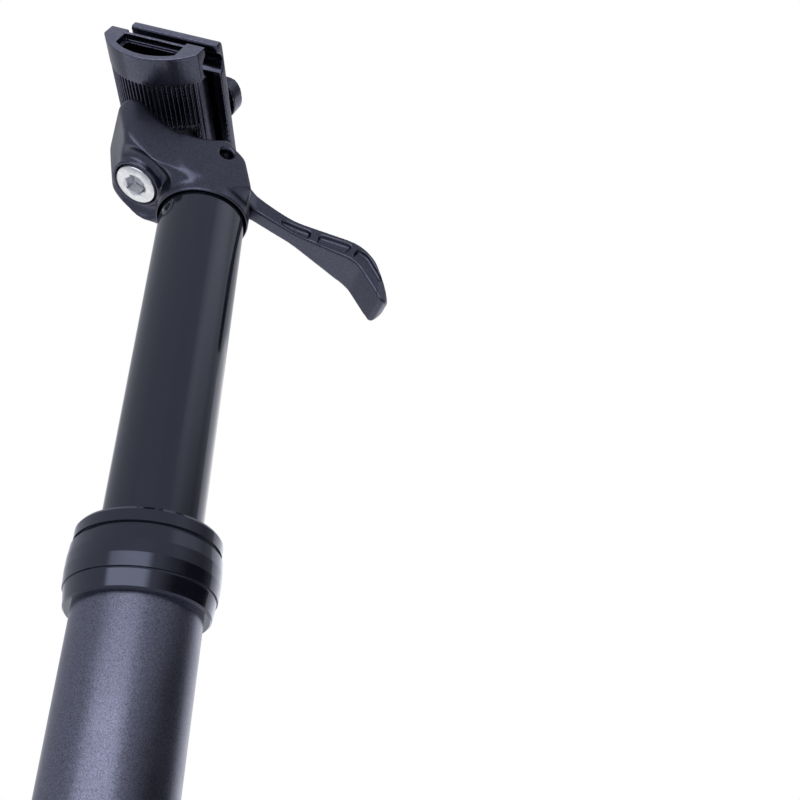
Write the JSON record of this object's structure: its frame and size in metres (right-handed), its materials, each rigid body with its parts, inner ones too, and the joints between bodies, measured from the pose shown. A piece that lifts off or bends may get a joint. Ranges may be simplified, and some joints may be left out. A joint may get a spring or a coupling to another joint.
{
  "type": "dropper seatpost",
  "caption": "Dropper seatpost: a stanchion slides in an outer tube with a collar, and a forged head carries a rail clamp on one bolt and a lever that releases the post.",
  "frame": {"origin": "on the post's axis at the lower end of the outer tube", "axes": "+Z along the post towards the saddle, +X to the front where the lever points, +Y to the rider's left"},
  "size_m": [0.0978, 0.0653, 0.4008],
  "materials": {
    "anodised_tube": "matte black, sand-blasted and anodised",
    "gloss_black": "gloss black anodised",
    "stanchion_black": "hard-anodised gloss black",
    "forged_black": "matte black, forged",
    "clamp_black": "satin black, machined ends",
    "bright_steel": "bright zinc plate",
    "plain_steel": "plain",
    "plain_aluminium": "plain, turned",
    "bronze": "plain bearing bronze",
    "bearing_plastic": "plain bearing plastic",
    "seal_rubber": "matte",
    "bumper_rubber": "matte"
  },
  "bodies": {
    "outer_post": {"outer_tube": "anodised_tube", "collar": "gloss_black", "wiper_seal": "seal_rubber", "upper_bush": "bearing_plastic", "bottom_cap": "anodised_tube", "rod_bolt": "plain_steel", "cartridge_rod": "plain_steel", "piston": "bronze", "piston_ring": "seal_rubber", "topout_bumper": "bumper_rubber", "bottom_bumper": "bumper_rubber"},
    "inner_post": {"stanchion": "stanchion_black", "seat_head": "forged_black", "cartridge_tube": "plain_aluminium", "cartridge_cap": "plain_aluminium", "cartridge_gland": "plain_aluminium", "rod_seal": "seal_rubber", "lower_bush": "bearing_plastic", "guide_keys": "bronze", "pivot_pin": "plain_steel", "clamp_bolt": "bright_steel", "bolt_washer": "plain_steel"},
    "nut": {"clamp_nut": "plain_steel"},
    "rocker": {"rocker_washer": "clamp_black"},
    "top_clamp": {"upper_clamp": "clamp_black"},
    "cradle": {"lower_clamp": "clamp_black"},
    "lever_arm": {"lever": "forged_black", "lever_bush": "bronze", "adjuster_screw": "plain_steel"},
    "valve": {"valve_pin": "plain_steel"}
  },
  "joints": [
    {"name": "drop", "type": "slide", "parent": "outer_post", "child": "inner_post", "axis": [0, 0, 1], "range_m": [-0.1, 0], "stiffness_N_per_m": 200, "springref_m": 0.5},
    {"name": "lever_pull", "type": "hinge", "parent": "inner_post", "child": "lever_arm", "pos_m": [0.0026, 0, 0.3574], "axis": [0, -1, 0], "range_deg": [0, 14], "stiffness_Nm_per_rad": 0.15, "springref_deg": -5.73},
    {"name": "valve_press", "type": "slide", "parent": "inner_post", "child": "valve", "axis": [0, 0, -1], "range_m": [0, 0.00111]},
    {"name": "clamp_settle", "type": "slide", "parent": "inner_post", "child": "nut", "axis": [0.3746, 0, 0.9272], "range_m": [-0.0061, 0]},
    {"name": "clamp_swivel", "type": "hinge", "parent": "nut", "child": "rocker", "pos_m": [-0.00513, 0, 0.38653], "axis": [0.3746, 0, 0.9272], "range_deg": [0, 23]},
    {"name": "saddle_tilt", "type": "hinge", "parent": "rocker", "child": "top_clamp", "pos_m": [-0.00513, 0, 0.38653], "axis": [0.3623, 0.9205, -0.1464], "range_deg": [-10.5, 7.5]},
    {"name": "cradle_slide", "type": "slide", "parent": "top_clamp", "child": "cradle", "axis": [0.8434, -0.3906, -0.369], "range_m": [0, 0.0071]}
  ],
  "couplings": [
    {"joint": "valve_press", "follows": "lever_pull", "m_per_rad": 0.0044},
    {"joint": "clamp_settle", "follows": "clamp_swivel", "m_per_rad": -0.014947},
    {"joint": "cradle_slide", "follows": "clamp_swivel", "m_per_rad": 0.017438}
  ]
}
